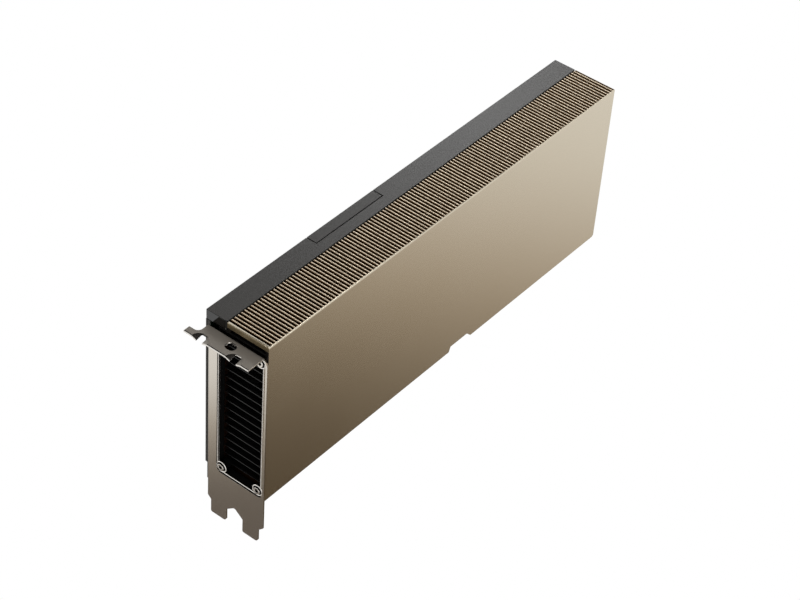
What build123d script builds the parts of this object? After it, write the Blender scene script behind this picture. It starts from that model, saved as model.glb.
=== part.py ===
import os
from math import floor

from build123d import *

os.makedirs("parts", exist_ok=True)

# Passive accelerator card, two slots thick, cooled by the server's own fans.
# Millimetres, +Z up. The origin is the key notch's centre at the contact edge, on the board's mid-plane.
# +X runs from the slot bracket to the open rear end, -Y from the board to the cooler's face.

# Envelope
card_length = 267.7        # bracket's outer face to the rear end
card_height = 111.15       # contact edge to the top of the card
key_to_bracket = 57.15     # key notch's centre to the bracket's outer face
cooler_depth = 35.14       # board's component side to the cooler's face
seat_gap = 0.15            # clearance round a piece that is dropped in beside another

# Printed board
board_thickness = 1.57
board_front_gap = 1.4      # bracket's outer face to the board's front edge
board_rear_gap = 2.2
board_top_gap = 2.4        # top of the card to the board's top edge
board_corner_step = 1.9    # step in the front top corner, round the rail's end wall
board_edge_z = 8.25        # board's lower edge above the contact edge
foot_length = 12.5         # lower foot of the board behind the bracket
foot_z = 4.1

# Edge connector: a short tongue, the key notch and a long tongue, then the latch hook
contact_pitch = 1.0
contact_width = 0.7
contact_height = 5.2
contact_rise = 0.9         # bare board below each contact
contact_plating = 0.05
contacts_before_key = 11
contacts_after_key = 71
key_width = 1.9
key_depth = 7.6
short_tongue = 11.65
long_tongue = 71.65
tongue_bevel = 0.45
tongue_corner = 0.8        # bevel on the tongue's two lower corners
hook_gap = 3.2             # gap between the long tongue and the hook
hook_stem = 3.4
hook_reach = 8.8
hook_bottom = 1.0
hook_foot = 3.1            # height of the hook's foot
hook_radius = 0.9

# Bridge connector on the board's top edge, under its cover
bridge_start = 69.95       # bracket's outer face to the cover's opening in the rail
bridge_length = 48.9
bridge_width = 6.36
bridge_gap = 0.4
cover_thickness = 1.4
cover_skirt = 3.0
cover_leg_width = 5.0
cover_leg_length = 6.0
cover_leg_thickness = 1.0

# Shroud: one drawn shell with a ribbed top, a plain face and a floor that meets the board
shroud_front_gap = 1.2     # bracket's outer face to the shroud's front end
shroud_height = 97.5
shroud_top_width = 24.8
shroud_top_wall = 2.88
shroud_face_wall = 1.4
shroud_floor_wall = 1.4
shroud_lip = 2.1           # lip along the top's inner edge
shroud_lip_height = 5.0
shroud_inner_radius = 1.6
shroud_corner_cut = 1.0    # bevel on the face's rear lower corner
groove_first = 3.01        # bracket's outer face to the first groove's centre
groove_pitch = 2.165
groove_width = 1.14
groove_depth = 1.2
groove_end_wall = 0.45     # wall that closes the grooves at the face and at the rear
rib_bevel = 0.35           # bevel along the face's upper edge
latch_start = 141.2        # bracket's outer face to the latch relief in the lower edge
latch_length = 17.85
latch_depth = 3.17
latch_front_draft = 1.2
latch_wall = 0.9

# Top rail: a moulded channel over the board's top edge
rail_front_gap = 1.59
rail_side_gap = 0.5        # gap between the rail and the shroud's ribs
rail_height = 5.5
rail_top_wall = 1.6
rail_inner_wall = 1.2
rail_end_wall = 1.2
rail_corner_radius = 1.7

# Backplate and the film under it
backplate_thickness = 1.0
backplate_front_gap = 1.39
backplate_radius = 1.5     # on the plate's lower corners
film_thickness = 0.2
film_margin = 1.5
film_window = 66.0         # opening round the screws of the package

# Slot bracket, one formed sheet
sheet = 0.86
bracket_height = 120.02    # tab's top to the tongues' lower ends
tab_drop = 6.46            # top of the card to the tab's top
bracket_overhang = 0.27    # bracket's edge past the shroud's face
bracket_left = 34.93       # shroud's face to the bracket's far edge
tab_depth = 11.43          # bracket's back face to the tab's front edge
tab_right = 1.53           # shroud's face to the tab's near end
tab_relief_drop = 10.2     # top of the card to the lower end of the tab's side relief
bend_radius = 1.25
ear_reach = 5.5            # ear past the bracket's far edge
ear_width = 3.88
ear_fillet = 2.6
slot_pitch = 20.32         # from one slot to the next
screw_notch_left = 31.1    # shroud's face to the far screw notch's centre
screw_notch_width = 3.7
screw_notch_depth = 4.2
screw_notch_radius = 0.7
dimple_radius = 4.6
dimple_depth = 0.85
locating_hole_x = 4.2      # bracket's outer face to the locating hole's centre
locating_hole_y = 17.7
locating_hole_length = 5.85
locating_hole_width = 4.8
tongue_width = 9.9
tongue_left = 32.85        # shroud's face to the far tongue's outer edge
tongue_length = 8.25       # shoulder to the tongue's lower end
tongue_small_radius = 1.0
tongue_large_radius = 1.9
shoulder_rise = 2.0
near_shoulder_rise = 2.9
crotch_rise = 4.25
crotch_radius = 1.6
recess_left = 29.62        # formed recess round the vent, from the shroud's face
recess_right = 0.74
recess_bottom = 96.05      # from the top of the card
recess_top = 8.2
recess_radius = 3.0
recess_depth = 0.9
recess_wall = 0.35
recess_gap = 0.2           # clearance round the recess
vent_rim = 1.0
vent_near_rim = 2.0
vent_rim_top = 1.7
lobe_radius = 2.9
frame_screw_left = 26.89   # shroud's face to the far pair of frame screws
frame_screw_right = 4.07
frame_screw_low = 92.4     # from the top of the card
frame_screw_high = 11.0
frame_screw_hole = 3.0
frame_screw_shank = 2.5
frame_screw_head = 4.3
frame_screw_head_height = 1.3
frame_screw_length = 3.7

# Front frame: a moulded duct between the bracket and the heatsink
front_frame_top_drop = 5.6
front_frame_length = 2.9
front_frame_wall = 1.15
front_frame_boss = 2.5
front_frame_pilot = 2.6

# Heatsink
fin_setback = 4.87         # bracket's outer face to the fins' front ends
fin_rear_gap = 32.0
fin_floor_gap = 5.42       # shroud's lower face to the lowest fin's middle
fin_pitch = 4.96
fin_thickness = 0.4
fin_face_gap = 0.5         # fins' free edges to the shroud's face wall
fin_cover_drop = 10.1      # top of the card to the fins' cover plate
fin_cover_thickness = 0.5
base_thickness = 2.6
base_gap = 3.44            # board's component side to the base
base_top_drop = 9.95       # top of the card to the base's top edge
base_floor_gap = 0.48      # base to the pocket of the latch relief

# Processor package
package_x = 118.0          # bracket's outer face to the package's centre
package_rise = 46.35       # shroud's lower face to the package's centre
package_size = 48.0
package_thickness = 1.5
die_width = 26.0
die_height = 32.0
die_thickness = 0.78
memory_count = 3
memory_width = 7.6
memory_height = 9.8
memory_gap = 0.6
pedestal_size = 50.0
interface_thickness = 0.1

# Power stages in a column behind the package
inductor_count = 8
inductor_pitch = 8.6
inductor_size = 7.0
inductor_thickness = 2.7
inductor_x = 168.0
stage_size = 5.0
stage_thickness = 0.8
stage_x = 177.0
pad_overhang = 0.5
capacitor_count = 9
capacitor_pitch = 7.6
capacitor_x = 80.0
capacitor_length = 7.3
capacitor_width = 4.3
capacitor_thickness = 3.0

# Power socket at the rear: eight cells in two rows
socket_length = 21.0
socket_rear_gap = 1.0
socket_top_drop = 7.4
socket_pitch = 4.2
socket_columns = 4
socket_rows = 2
socket_wall = 0.75
socket_cell_depth = 14.0
socket_pin = 1.1
socket_pin_length = 11.5

# Rear frame with the threaded holes for a support extender
rear_frame_length = 4.0
rear_frame_inset = 0.6
rear_frame_wall = 1.5
rear_frame_boss = 3.2
rear_frame_thread = 2.5

# Retention of the package: screws from the backplate into hexagonal standoffs
standoff_across = 4.6
clearance_hole = 3.2
package_screw_span = 58.0
package_screw_shank = 2.9
package_screw_head = 5.0
package_screw_head_height = 0.9

# Planes that the pieces share
x_front = -key_to_bracket
x_rear = x_front + card_length
y_component = -board_thickness / 2
y_solder = board_thickness / 2
y_face = y_component - cooler_depth
y_film = y_solder + film_thickness
y_back = y_film + backplate_thickness
z_floor = card_height - shroud_height
z_ceiling = card_height - shroud_top_wall
z_tab = card_height - tab_drop
rail_y = y_face + shroud_top_width + rail_side_gap
base_y = y_component - base_gap
fin_y = base_y - base_thickness
board_top = card_height - board_top_gap
base_low = z_floor + latch_depth + latch_wall + base_floor_gap
base_high = card_height - base_top_drop
fin_low = z_floor + fin_floor_gap
fin_cover_z = card_height - fin_cover_drop
fin_count = floor((fin_cover_z - fin_low) / fin_pitch) + 1
package_z = z_floor + package_rise
tongue_start = -key_width / 2 - short_tongue
tongue_end = key_width / 2 + long_tongue


def side_plane(y):
    """Plane with local x along X and local y along Z, at the given Y, facing the board's far side."""
    return Plane((0, y, 0), x_dir=(1, 0, 0), z_dir=(0, -1, 0))


def near(sketch, x, y):
    """The sketch's corner nearest to a point."""
    return sketch.vertices().sort_by_distance(Vector(x, y, 0))[0]


package_screw_spots = [
    (package_x + x_front + i * package_screw_span / 2, package_z + j * package_screw_span / 2)
    for i in (-1, 1)
    for j in (-1, 1)
]
frame_screw_spots = [
    (y_face + y, card_height - z)
    for y in (frame_screw_right, frame_screw_left)
    for z in (frame_screw_low, frame_screw_high)
]

# Shroud
with BuildPart() as shroud:
    lip_y = y_face + shroud_top_width
    duct_y = y_face + shroud_face_wall
    floor_z = z_floor + shroud_floor_wall
    with BuildSketch(Plane.YZ.offset(x_front + shroud_front_gap)) as shell:
        with BuildLine():
            Polyline(
                (y_face, z_floor),
                (y_face, card_height - rib_bevel),
                (y_face + rib_bevel, card_height),
                (lip_y, card_height),
                (lip_y, card_height - shroud_lip_height),
                (lip_y - shroud_lip, card_height - shroud_lip_height),
                (lip_y - shroud_lip, z_ceiling),
                (duct_y, z_ceiling),
                (duct_y, floor_z),
                (y_component, floor_z),
                (y_component, z_floor),
                close=True,
            )
        make_face()
        inner_corners = [
            near(shell, lip_y - shroud_lip, z_ceiling),
            near(shell, duct_y, z_ceiling),
            near(shell, duct_y, floor_z),
        ]
        fillet(inner_corners, shroud_inner_radius)
    extrude(amount=card_length - shroud_front_gap)

    groove_count = floor((card_length - groove_first) / groove_pitch) + 1
    groove_length = shroud_top_width - groove_end_wall
    with BuildSketch(Plane.XY.offset(card_height)):
        for i in range(groove_count):
            groove_x = x_front + groove_first + i * groove_pitch
            with Locations((groove_x, lip_y - groove_length / 2)):
                Rectangle(groove_width, groove_length)
        with Locations((x_rear, lip_y - groove_length / 2)):
            Rectangle(2 * groove_end_wall, groove_length, mode=Mode.SUBTRACT)
    extrude(amount=-groove_depth, mode=Mode.SUBTRACT)

    # Step in the front end that clears the bracket's formed recess
    step_y = y_face + (recess_left + recess_right) / 2
    step_z = card_height - (recess_bottom + recess_top) / 2
    step_margin = 2 * (recess_wall + recess_gap)
    with BuildSketch(Plane.YZ.offset(x_front + shroud_front_gap)):
        with Locations((step_y, step_z)):
            Rectangle(recess_left - recess_right + step_margin, recess_bottom - recess_top + step_margin)
    extrude(amount=sheet + recess_depth + recess_gap - shroud_front_gap, mode=Mode.SUBTRACT)

    latch_x = x_front + latch_start
    with BuildSketch(Plane.XY.offset(z_floor)):
        with Locations((latch_x + latch_length / 2, (y_face + y_component) / 2)):
            Rectangle(latch_length + 2 * latch_wall, cooler_depth)
    extrude(amount=latch_depth + latch_wall)
    with BuildSketch(side_plane(y_face)):
        with BuildLine():
            Polyline(
                (latch_x, z_floor),
                (latch_x + latch_front_draft, z_floor + latch_depth),
                (latch_x + latch_length - latch_depth, z_floor + latch_depth),
                (latch_x + latch_length, z_floor),
                close=True,
            )
        make_face()
    extrude(amount=-cooler_depth, mode=Mode.SUBTRACT)

    rear_low_edge = (
        shroud.edges()
        .filter_by(Axis.Y)
        .sort_by_distance(Vector(x_rear, y_face, z_floor))[0]
    )
    chamfer(rear_low_edge, shroud_corner_cut)
shroud.part.label = "shroud"
export_step(shroud.part, "parts/shroud.step")

# Top rail
with BuildPart() as top_rail:
    rail_length = card_length - rail_front_gap
    rail_width = y_back - rail_y
    rail_x = x_front + rail_front_gap
    with BuildSketch(Plane.XY.offset(card_height - rail_height)) as rail_plan:
        with Locations((rail_x + rail_length / 2, rail_y + rail_width / 2)):
            Rectangle(rail_length, rail_width)
        fillet(near(rail_plan, rail_x, rail_y), rail_corner_radius)
    extrude(amount=rail_height)
    channel_length = rail_length - 2 * rail_end_wall
    channel_width = rail_width - rail_inner_wall - backplate_thickness
    with BuildSketch(Plane.XY.offset(card_height - rail_height)):
        with Locations((rail_x + rail_length / 2, rail_y + rail_inner_wall + channel_width / 2)):
            Rectangle(channel_length, channel_width)
    extrude(amount=rail_height - rail_top_wall, mode=Mode.SUBTRACT)
    with BuildSketch(Plane.XY.offset(card_height)):
        with Locations((x_front + bridge_start + bridge_length / 2, y_back - bridge_width / 2)):
            Rectangle(bridge_length, bridge_width)
    extrude(amount=-cover_skirt, mode=Mode.SUBTRACT)
top_rail.part.label = "top_rail"
export_step(top_rail.part, "parts/top_rail.step")

# Bridge cover: a snap-in plate with a skirt and two legs that grip the board's edge
with BuildPart() as bridge_cover:
    cover_length = bridge_length - 2 * bridge_gap
    cover_width = bridge_width - bridge_gap
    cover_x = x_front + bridge_start + bridge_length / 2
    with BuildSketch(Plane.XY.offset(card_height - cover_thickness)):
        with Locations((cover_x, y_back - cover_width / 2)):
            Rectangle(cover_length, cover_width)
    extrude(amount=cover_thickness)
    with BuildSketch(Plane.XY.offset(card_height - cover_skirt + seat_gap)):
        with Locations((cover_x, y_back - backplate_thickness / 2)):
            Rectangle(cover_length, backplate_thickness)
    extrude(amount=cover_skirt - seat_gap)
    with BuildSketch(Plane.XY.offset(card_height - cover_thickness)):
        with Locations((cover_x, y_component - seat_gap - cover_leg_thickness / 2)):
            with GridLocations(cover_length - 2 * cover_leg_width, 1, 2, 1):
                Rectangle(cover_leg_width, cover_leg_thickness)
    extrude(amount=-cover_leg_length)
bridge_cover.part.label = "bridge_cover"
export_step(bridge_cover.part, "parts/bridge_cover.step")

# Printed board, its outline drawn from the component side
with BuildPart() as circuit_board:
    board_front = x_front + board_front_gap
    board_rear = x_rear - board_rear_gap
    rail_seat = card_height - rail_height - seat_gap
    foot_end = board_front + foot_length
    hook_x = tongue_end + hook_gap
    with BuildSketch(side_plane(y_solder)) as outline:
        with BuildLine():
            Polyline(
                (board_front, foot_z),
                (foot_end, foot_z),
                (foot_end + board_edge_z - foot_z, board_edge_z),
                (tongue_start, board_edge_z),
                (tongue_start, 0),
                (tongue_end, 0),
                (tongue_end, board_edge_z),
                (hook_x, board_edge_z),
                (hook_x, hook_bottom),
                (hook_x + hook_reach, hook_bottom),
                (hook_x + hook_reach, hook_bottom + hook_foot),
                (hook_x + hook_stem, hook_bottom + hook_foot),
                (hook_x + hook_stem, board_edge_z),
                (board_rear, board_edge_z),
                (board_rear, board_top),
                (board_front + board_corner_step, board_top),
                (board_front + board_corner_step, rail_seat),
                (board_front, rail_seat),
                close=True,
            )
        make_face()
        for hook_corner in (hook_x, hook_x + hook_reach):
            fillet(near(outline, hook_corner, hook_bottom), hook_radius)
        chamfer([near(outline, tongue_start, 0), near(outline, tongue_end, 0)], tongue_corner)
        with Locations((0, key_depth / 2 - key_width / 4)):
            Rectangle(key_width, key_depth - key_width / 2, mode=Mode.SUBTRACT)
        with Locations((0, key_depth - key_width / 2)):
            Circle(key_width / 2, mode=Mode.SUBTRACT)
        for spot in package_screw_spots:
            with Locations(spot):
                Circle(clearance_hole / 2, mode=Mode.SUBTRACT)
    extrude(amount=board_thickness)
    contact_edges = circuit_board.edges().filter_by(Axis.X).group_by(Axis.Z)[0]
    chamfer(contact_edges, tongue_bevel)
circuit_board.part.label = "circuit_board"
export_step(circuit_board.part, "parts/circuit_board.step")

# Contacts of the edge connector, the same on both sides of the board
with BuildPart() as edge_contacts:
    contact_z = contact_rise + contact_height / 2
    first_before = -key_width / 2 - contact_pitch * (contacts_before_key - 0.5)
    first_after = key_width / 2 + contact_pitch / 2
    contact_spots = [first_before + i * contact_pitch for i in range(contacts_before_key)]
    contact_spots += [first_after + i * contact_pitch for i in range(contacts_after_key)]
    for plane_y in (y_component, y_solder + contact_plating):
        with BuildSketch(side_plane(plane_y)):
            for spot in contact_spots:
                with Locations((spot, contact_z)):
                    Rectangle(contact_width, contact_height)
        extrude(amount=contact_plating)
edge_contacts.part.label = "edge_contacts"
export_step(edge_contacts.part, "parts/edge_contacts.step")

# Backplate
with BuildPart() as backplate:
    plate_front = x_front + backplate_front_gap
    plate_length = x_rear - plate_front
    plate_top = card_height - rail_height
    plate_height = plate_top - z_floor
    with BuildSketch(side_plane(y_back)) as plate_outline:
        with Locations((plate_front + plate_length / 2, z_floor + plate_height / 2)):
            Rectangle(plate_length, plate_height)
        for plate_corner in (plate_front, x_rear):
            fillet(near(plate_outline, plate_corner, z_floor), backplate_radius)
        for spot in package_screw_spots:
            with Locations(spot):
                Circle(clearance_hole / 2, mode=Mode.SUBTRACT)
    extrude(amount=backplate_thickness)
backplate.part.label = "backplate"
export_step(backplate.part, "parts/backplate.step")

# Insulating film between the board's solder side and the backplate
with BuildPart() as insulation_film:
    film_length = board_rear - board_front - 2 * film_margin
    film_height = plate_height - 2 * film_margin
    with BuildSketch(side_plane(y_film)):
        with Locations((board_front + film_margin + film_length / 2, z_floor + plate_height / 2)):
            Rectangle(film_length, film_height)
        with Locations((x_front + package_x, package_z)):
            Rectangle(film_window, film_window, mode=Mode.SUBTRACT)
    extrude(amount=film_thickness)
insulation_film.part.label = "insulation_film"
export_step(insulation_film.part, "parts/insulation_film.step")

# Slot bracket
with BuildPart() as bracket:
    near_edge = y_face - bracket_overhang
    far_edge = y_face + bracket_left
    shoulder_z = z_tab - bracket_height + tongue_length
    tongue_z = z_tab - bracket_height
    far_tongue = y_face + tongue_left
    near_tongue = far_tongue - slot_pitch
    crotch_y = (far_tongue - tongue_width + near_tongue) / 2
    bend_x = x_front + sheet
    tab_y = y_face + tab_right
    with BuildSketch(Plane.YZ.offset(x_front)) as face_outline:
        with BuildLine():
            Polyline(
                (tab_y, z_tab - bend_radius),
                (near_edge, card_height - tab_relief_drop),
                (near_edge, shoulder_z + near_shoulder_rise),
                (near_tongue - tongue_width, shoulder_z),
                (near_tongue - tongue_width, tongue_z),
                (near_tongue, tongue_z),
                (near_tongue, shoulder_z),
                (crotch_y, shoulder_z + crotch_rise),
                (far_tongue - tongue_width, shoulder_z),
                (far_tongue - tongue_width, tongue_z),
                (far_tongue, tongue_z),
                (far_tongue, shoulder_z),
                (far_edge, shoulder_z + shoulder_rise),
                (far_edge, z_tab - bend_radius),
                close=True,
            )
        make_face()
        fillet(near(face_outline, crotch_y, shoulder_z + crotch_rise), crotch_radius)
        for tongue in (near_tongue, far_tongue):
            fillet(near(face_outline, tongue, tongue_z), tongue_small_radius)
            fillet(near(face_outline, tongue - tongue_width, tongue_z), tongue_large_radius)
    extrude(amount=sheet)

    # The recess round the vent is pressed inwards, so the sheet stands proud behind it
    recess_y = y_face + (recess_left + recess_right) / 2
    recess_z = card_height - (recess_bottom + recess_top) / 2
    recess_width = recess_left - recess_right
    recess_height = recess_bottom - recess_top
    with BuildSketch(Plane.YZ.offset(x_front + sheet)):
        with Locations((recess_y, recess_z)):
            RectangleRounded(
                recess_width + 2 * recess_wall, recess_height + 2 * recess_wall, recess_radius + recess_wall
            )
    extrude(amount=recess_depth)
    with BuildSketch(Plane.YZ.offset(x_front)):
        with Locations((recess_y, recess_z)):
            RectangleRounded(recess_width, recess_height, recess_radius)
    extrude(amount=recess_depth, mode=Mode.SUBTRACT)

    # Vent with a lobe of sheet left round each frame screw
    vent_low = card_height - recess_bottom + vent_rim
    vent_high = card_height - recess_top - vent_rim_top
    vent_right = y_face + recess_right + vent_near_rim
    vent_left = y_face + recess_left - vent_rim
    with BuildSketch(Plane.YZ.offset(x_front)):
        with Locations(((vent_left + vent_right) / 2, (vent_low + vent_high) / 2)):
            Rectangle(vent_left - vent_right, vent_high - vent_low)
        for spot in frame_screw_spots:
            with Locations(spot):
                Circle(lobe_radius, mode=Mode.SUBTRACT)
    extrude(amount=sheet + recess_depth, mode=Mode.SUBTRACT)
    with BuildSketch(Plane.YZ.offset(x_front)):
        for spot in frame_screw_spots:
            with Locations(spot):
                Circle(frame_screw_hole / 2)
    extrude(amount=sheet + recess_depth, mode=Mode.SUBTRACT)

    # Tab for the chassis screws, bent outwards, with an ear on its far end
    tab_front = bend_x - tab_depth
    tab_root = bend_x - bend_radius
    with BuildSketch(side_plane(tab_y)):
        with Locations((tab_root, z_tab - bend_radius)):
            Circle(bend_radius)
            Circle(bend_radius - sheet, mode=Mode.SUBTRACT)
        with Locations((tab_root + bend_radius / 2, z_tab - bend_radius / 2)):
            Rectangle(bend_radius, bend_radius, mode=Mode.INTERSECT)
    extrude(amount=tab_y - far_edge)
    with BuildSketch(Plane.XY.offset(z_tab)) as tab_outline:
        with BuildLine():
            Polyline(
                (tab_root, tab_y),
                (tab_front, tab_y),
                (tab_front, far_edge + ear_reach),
                (tab_front + ear_width, far_edge + ear_reach),
                (tab_front + ear_width, far_edge),
                (tab_root, far_edge),
                close=True,
            )
        make_face()
        fillet(near(tab_outline, tab_front + ear_width, far_edge), ear_fillet)
    extrude(amount=-sheet)

    # Each screw notch sits in a shallow cone that is pressed down from the front edge
    notch_left = y_face + screw_notch_left
    for notch_y in (notch_left, notch_left - slot_pitch):
        for top_z, mode in ((z_tab - sheet, Mode.ADD), (z_tab, Mode.SUBTRACT)):
            with Locations((tab_front, notch_y, top_z - dimple_depth / 2)):
                Cone(screw_notch_width / 2, dimple_radius, dimple_depth, mode=mode)
        with BuildSketch(Plane.XY.offset(z_tab)) as notch_plan:
            with Locations((tab_front, notch_y)):
                Rectangle(2 * screw_notch_depth, screw_notch_width)
            for side in (-1, 1):
                corner_y = notch_y + side * screw_notch_width / 2
                fillet(near(notch_plan, tab_front + screw_notch_depth, corner_y), screw_notch_radius)
        extrude(amount=-sheet - dimple_depth, mode=Mode.SUBTRACT)
    with BuildSketch(Plane.XY.offset(z_tab)):
        with Locations((tab_front - dimple_radius, (tab_y + far_edge) / 2)):
            Rectangle(2 * dimple_radius, 2 * bracket_left)
    extrude(amount=-sheet - dimple_depth, mode=Mode.SUBTRACT)
    with BuildSketch(Plane.XY.offset(z_tab)):
        with Locations((x_front - locating_hole_x, y_face + locating_hole_y)):
            SlotOverall(locating_hole_length, locating_hole_width, rotation=90)
    extrude(amount=-sheet, mode=Mode.SUBTRACT)
bracket.part.label = "bracket"
export_step(bracket.part, "parts/bracket.step")

# Screws that hold the bracket to the front frame
with BuildPart() as bracket_screws:
    head_x = x_front + recess_depth
    with BuildSketch(Plane.YZ.offset(head_x)):
        for spot in frame_screw_spots:
            with Locations(spot):
                Circle(frame_screw_head / 2)
    extrude(amount=-frame_screw_head_height)
    with BuildSketch(Plane.YZ.offset(head_x)):
        for spot in frame_screw_spots:
            with Locations(spot):
                Circle(frame_screw_shank / 2)
    extrude(amount=frame_screw_length)
bracket_screws.part.label = "bracket_screws"
export_step(bracket_screws.part, "parts/bracket_screws.step")

# Front frame, a ring with a boss for each of those screws
with BuildPart() as front_frame:
    frame_x = x_front + sheet + recess_depth
    ring_low = z_floor + shroud_floor_wall
    ring_high = card_height - front_frame_top_drop
    ring_right = y_face + shroud_face_wall + seat_gap
    ring_left = fin_y + front_frame_wall
    with BuildSketch(Plane.YZ.offset(frame_x)) as ring:
        with Locations(((ring_left + ring_right) / 2, (ring_low + ring_high) / 2)):
            Rectangle(ring_left - ring_right, ring_high - ring_low)
        chamfer(near(ring, ring_right, ring_low), shroud_inner_radius)
        with Locations(((ring_left + ring_right) / 2, (ring_low + ring_high) / 2)):
            Rectangle(
                ring_left - ring_right - 2 * front_frame_wall,
                ring_high - ring_low - 2 * front_frame_wall,
                mode=Mode.SUBTRACT,
            )
        for spot in frame_screw_spots:
            with Locations(spot):
                Circle(front_frame_boss)
        for spot in frame_screw_spots:
            with Locations(spot):
                Circle(front_frame_pilot / 2, mode=Mode.SUBTRACT)
    extrude(amount=front_frame_length)
front_frame.part.label = "front_frame"
export_step(front_frame.part, "parts/front_frame.step")

# Heatsink base: a flat plate with a pedestal over the package
with BuildPart() as heatsink_base:
    fin_front = x_front + fin_setback
    fin_length = card_length - fin_setback - fin_rear_gap
    pedestal = base_gap - package_thickness - die_thickness - interface_thickness
    with BuildSketch(side_plane(base_y)):
        with Locations((fin_front + fin_length / 2, (base_low + base_high) / 2)):
            Rectangle(fin_length, base_high - base_low)
    extrude(amount=base_thickness)
    with BuildSketch(side_plane(base_y)):
        with Locations((x_front + package_x, package_z)):
            Rectangle(pedestal_size, pedestal_size)
    extrude(amount=-pedestal)
heatsink_base.part.label = "heatsink_base"
export_step(heatsink_base.part, "parts/heatsink_base.step")

# Fins, flat plates along the airflow
with BuildPart() as heatsink_fins:
    fin_depth = fin_y - (y_face + shroud_face_wall + fin_face_gap)
    with BuildSketch(Plane.YZ.offset(fin_front)):
        for i in range(fin_count):
            with Locations((fin_y - fin_depth / 2, fin_low + i * fin_pitch)):
                Rectangle(fin_depth, fin_thickness)
    extrude(amount=fin_length)
heatsink_fins.part.label = "heatsink_fins"
export_step(heatsink_fins.part, "parts/heatsink_fins.step")

# Cover plate over the fins
with BuildPart() as fin_cover:
    with BuildSketch(Plane.YZ.offset(fin_front)):
        with Locations((fin_y - fin_depth / 2, fin_cover_z)):
            Rectangle(fin_depth, fin_cover_thickness)
    extrude(amount=fin_length)
fin_cover.part.label = "fin_cover"
export_step(fin_cover.part, "parts/fin_cover.step")

# Processor package: substrate, die, memory stacks and the thermal interface over them
with BuildPart() as package_substrate:
    with BuildSketch(side_plane(y_component)):
        with Locations((x_front + package_x, package_z)):
            Rectangle(package_size, package_size)
    extrude(amount=package_thickness)
package_substrate.part.label = "package_substrate"
export_step(package_substrate.part, "parts/package_substrate.step")

with BuildPart() as processor_die:
    with BuildSketch(side_plane(y_component - package_thickness)):
        with Locations((x_front + package_x, package_z)):
            Rectangle(die_width, die_height)
    extrude(amount=die_thickness)
processor_die.part.label = "processor_die"
export_step(processor_die.part, "parts/processor_die.step")

with BuildPart() as memory_stacks:
    memory_step = die_width + memory_width + 2 * memory_gap
    memory_rise = die_height / memory_count
    with BuildSketch(side_plane(y_component - package_thickness)):
        with Locations((x_front + package_x, package_z)):
            with GridLocations(memory_step, memory_rise, 2, memory_count):
                Rectangle(memory_width, memory_height)
    extrude(amount=die_thickness)
memory_stacks.part.label = "memory_stacks"
export_step(memory_stacks.part, "parts/memory_stacks.step")

with BuildPart() as thermal_interface:
    with BuildSketch(side_plane(y_component - package_thickness - die_thickness)):
        with Locations((x_front + package_x, package_z)):
            Rectangle(memory_step + memory_width, die_height)
    extrude(amount=interface_thickness)
thermal_interface.part.label = "thermal_interface"
export_step(thermal_interface.part, "parts/thermal_interface.step")

# Power stages, their inductors and the pads that carry their heat to the base
with BuildPart() as power_inductors:
    with BuildSketch(side_plane(y_component)):
        with Locations((x_front + inductor_x, package_z)):
            with GridLocations(1, inductor_pitch, 1, inductor_count):
                Rectangle(inductor_size, inductor_size)
    extrude(amount=inductor_thickness)
power_inductors.part.label = "power_inductors"
export_step(power_inductors.part, "parts/power_inductors.step")

with BuildPart() as power_stages:
    with BuildSketch(side_plane(y_component)):
        with Locations((x_front + stage_x, package_z)):
            with GridLocations(1, inductor_pitch, 1, inductor_count):
                Rectangle(stage_size, stage_size)
    extrude(amount=stage_thickness)
power_stages.part.label = "power_stages"
export_step(power_stages.part, "parts/power_stages.step")

with BuildPart() as thermal_pads:
    pad_height = inductor_pitch * (inductor_count - 1) + inductor_size + 2 * pad_overhang
    with BuildSketch(side_plane(y_component - inductor_thickness)):
        with Locations((x_front + inductor_x, package_z)):
            Rectangle(inductor_size + 2 * pad_overhang, pad_height)
    extrude(amount=base_gap - inductor_thickness)
    with BuildSketch(side_plane(y_component - stage_thickness)):
        with Locations((x_front + stage_x, package_z)):
            Rectangle(stage_size + 2 * pad_overhang, pad_height)
    extrude(amount=base_gap - stage_thickness)
thermal_pads.part.label = "thermal_pads"
export_step(thermal_pads.part, "parts/thermal_pads.step")

with BuildPart() as capacitors:
    with BuildSketch(side_plane(y_component)):
        with Locations((x_front + capacitor_x, package_z)):
            with GridLocations(1, capacitor_pitch, 1, capacitor_count):
                Rectangle(capacitor_length, capacitor_width)
    extrude(amount=capacitor_thickness)
capacitors.part.label = "capacitors"
export_step(capacitors.part, "parts/capacitors.step")

# Power socket, open to the rear, and its pins
socket_height = socket_columns * socket_pitch + socket_wall
socket_depth = socket_rows * socket_pitch + socket_wall
socket_end = x_rear - socket_rear_gap
socket_centre = (y_component - socket_depth / 2, card_height - socket_top_drop - socket_height / 2)
with BuildPart() as power_socket:
    with BuildSketch(Plane.YZ.offset(socket_end)):
        with Locations(socket_centre):
            Rectangle(socket_depth, socket_height)
    extrude(amount=-socket_length)
    with BuildSketch(Plane.YZ.offset(socket_end)):
        with Locations(socket_centre):
            with GridLocations(socket_pitch, socket_pitch, socket_rows, socket_columns):
                Rectangle(socket_pitch - socket_wall, socket_pitch - socket_wall)
    extrude(amount=-socket_cell_depth, mode=Mode.SUBTRACT)
power_socket.part.label = "power_socket"
export_step(power_socket.part, "parts/power_socket.step")

with BuildPart() as power_pins:
    with BuildSketch(Plane.YZ.offset(socket_end - socket_cell_depth)):
        with Locations(socket_centre):
            with GridLocations(socket_pitch, socket_pitch, socket_rows, socket_columns):
                Rectangle(socket_pin, socket_pin)
    extrude(amount=socket_pin_length)
power_pins.part.label = "power_pins"
export_step(power_pins.part, "parts/power_pins.step")

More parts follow.
